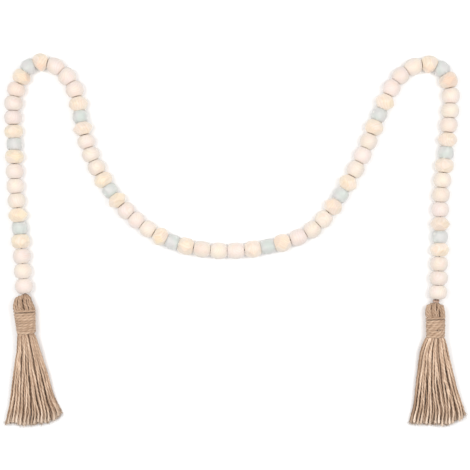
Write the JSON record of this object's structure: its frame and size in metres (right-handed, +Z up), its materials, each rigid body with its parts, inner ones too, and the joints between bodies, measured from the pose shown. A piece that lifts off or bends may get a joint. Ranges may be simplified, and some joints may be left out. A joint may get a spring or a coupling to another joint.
{
  "type": "wood bead garland",
  "caption": "Garland of round and faceted wood beads and frosted glass beads on a string, a jute tassel at each end, laid flat in a loose M.",
  "frame": {"origin": "on the surface it lies on, under the middle of the garland's outline", "axes": "+X across the M from the left tassel to the right one, +Y from the tassels to the arches, +Z up out of the surface"},
  "size_m": [0.5264, 0.4258, 0.0239],
  "materials": {
    "pale_wood": "unfinished pale pinkish wood, finely sanded",
    "cream_wood": "unfinished cream wood with visible grain",
    "sea_glass": "frosted pale aqua glass",
    "jute": "plied natural jute twine",
    "string": "thin brown twine"
  },
  "bodies": {
    "root": {"round_run_01": "pale_wood", "round_run_02": "pale_wood", "round_run_03": "pale_wood", "round_run_04": "pale_wood", "round_run_05": "pale_wood", "round_run_06": "pale_wood", "round_run_07": "pale_wood", "round_run_08": "pale_wood", "round_run_09": "pale_wood", "round_run_10": "pale_wood", "round_run_11": "pale_wood", "round_run_12": "pale_wood", "round_run_13": "pale_wood", "faceted_01": "cream_wood", "faceted_02": "cream_wood", "faceted_03": "cream_wood", "faceted_04": "cream_wood", "faceted_05": "cream_wood", "faceted_06": "cream_wood", "faceted_07": "cream_wood", "faceted_08": "cream_wood", "faceted_09": "cream_wood", "faceted_10": "cream_wood", "faceted_11": "cream_wood", "faceted_12": "cream_wood", "faceted_13": "cream_wood", "faceted_14": "cream_wood", "faceted_15": "cream_wood", "faceted_16": "cream_wood", "faceted_17": "cream_wood", "faceted_18": "cream_wood", "faceted_19": "cream_wood", "faceted_20": "cream_wood", "faceted_21": "cream_wood", "faceted_22": "cream_wood", "faceted_23": "cream_wood", "faceted_24": "cream_wood", "glass_01": "sea_glass", "glass_02": "sea_glass", "glass_03": "sea_glass", "glass_04": "sea_glass", "glass_05": "sea_glass", "glass_06": "sea_glass", "glass_07": "sea_glass", "glass_08": "sea_glass", "glass_09": "sea_glass", "glass_10": "sea_glass", "glass_11": "sea_glass", "glass_12": "sea_glass", "string": "string", "left_tassel": "jute", "right_tassel": "jute", "left_wrap": "jute", "right_wrap": "jute", "right_knot": "string"}
  },
  "joints": []
}
